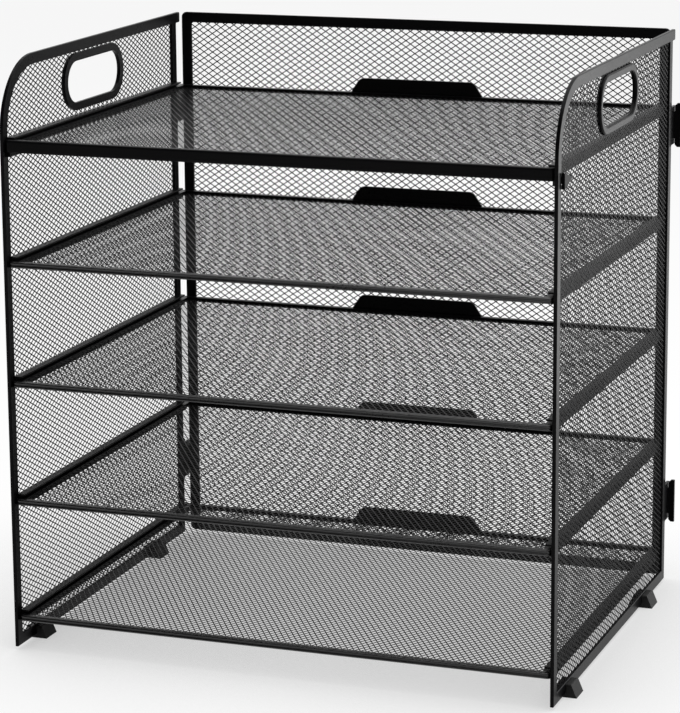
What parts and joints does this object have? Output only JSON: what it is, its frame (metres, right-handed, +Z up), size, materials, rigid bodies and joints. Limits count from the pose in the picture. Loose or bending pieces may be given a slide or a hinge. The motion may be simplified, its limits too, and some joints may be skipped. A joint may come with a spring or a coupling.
{
  "type": "paper organizer",
  "caption": "Desktop paper organizer in black steel mesh: side panels with hand holes, a back panel, a fixed top tray and open trays below it that slide forward in runners.",
  "frame": {"origin": "middle of the footprint, on the surface that the feet stand on", "axes": "+Z up, -Y to the open front that the trays slide out of, +X to the right seen from the front"},
  "size_m": [0.316, 0.245, 0.322],
  "materials": {
    "black_steel": "semi-gloss black powder coat",
    "black_rubber": "matte"
  },
  "bodies": {
    "stand": {"side_frame_left": "black_steel", "side_mesh_left": "black_steel", "hand_ring_left": "black_steel", "top_hook_left": "black_steel", "rear_clip_upper_left": "black_steel", "rear_clip_lower_left": "black_steel", "foot_front_left": "black_rubber", "foot_rear_left": "black_rubber", "runner_1_left": "black_steel", "runner_2_left": "black_steel", "runner_3_left": "black_steel", "runner_4_left": "black_steel", "runner_5_left": "black_steel", "side_frame_right": "black_steel", "side_mesh_right": "black_steel", "hand_ring_right": "black_steel", "top_hook_right": "black_steel", "rear_clip_upper_right": "black_steel", "rear_clip_lower_right": "black_steel", "foot_front_right": "black_rubber", "foot_rear_right": "black_rubber", "runner_1_right": "black_steel", "runner_2_right": "black_steel", "runner_3_right": "black_steel", "runner_4_right": "black_steel", "runner_5_right": "black_steel", "back_frame": "black_steel", "back_mesh": "black_steel", "tray_1_mesh": "black_steel", "tray_1_front_rim": "black_steel", "tray_1_back_rim": "black_steel", "tray_1_left_edge": "black_steel", "tray_1_right_edge": "black_steel", "tray_1_stop_tab": "black_steel"},
    "tray_2": {"tray_2_mesh": "black_steel", "tray_2_front_rim": "black_steel", "tray_2_back_rim": "black_steel", "tray_2_left_edge": "black_steel", "tray_2_right_edge": "black_steel", "tray_2_stop_tab": "black_steel"},
    "tray_3": {"tray_3_mesh": "black_steel", "tray_3_front_rim": "black_steel", "tray_3_back_rim": "black_steel", "tray_3_left_edge": "black_steel", "tray_3_right_edge": "black_steel", "tray_3_stop_tab": "black_steel"},
    "tray_4": {"tray_4_mesh": "black_steel", "tray_4_front_rim": "black_steel", "tray_4_back_rim": "black_steel", "tray_4_left_edge": "black_steel", "tray_4_right_edge": "black_steel", "tray_4_stop_tab": "black_steel"},
    "tray_5": {"tray_5_mesh": "black_steel", "tray_5_front_rim": "black_steel", "tray_5_back_rim": "black_steel", "tray_5_left_edge": "black_steel", "tray_5_right_edge": "black_steel", "tray_5_stop_tab": "black_steel"}
  },
  "joints": [
    {"name": "tray_2_slide", "type": "slide", "parent": "stand", "child": "tray_2", "axis": [0, -1, 0], "range_m": [0, 0.15]},
    {"name": "tray_3_slide", "type": "slide", "parent": "stand", "child": "tray_3", "axis": [0, -1, 0], "range_m": [0, 0.15]},
    {"name": "tray_4_slide", "type": "slide", "parent": "stand", "child": "tray_4", "axis": [0, -1, 0], "range_m": [0, 0.15]},
    {"name": "tray_5_slide", "type": "slide", "parent": "stand", "child": "tray_5", "axis": [0, -1, 0], "range_m": [0, 0.15]}
  ]
}
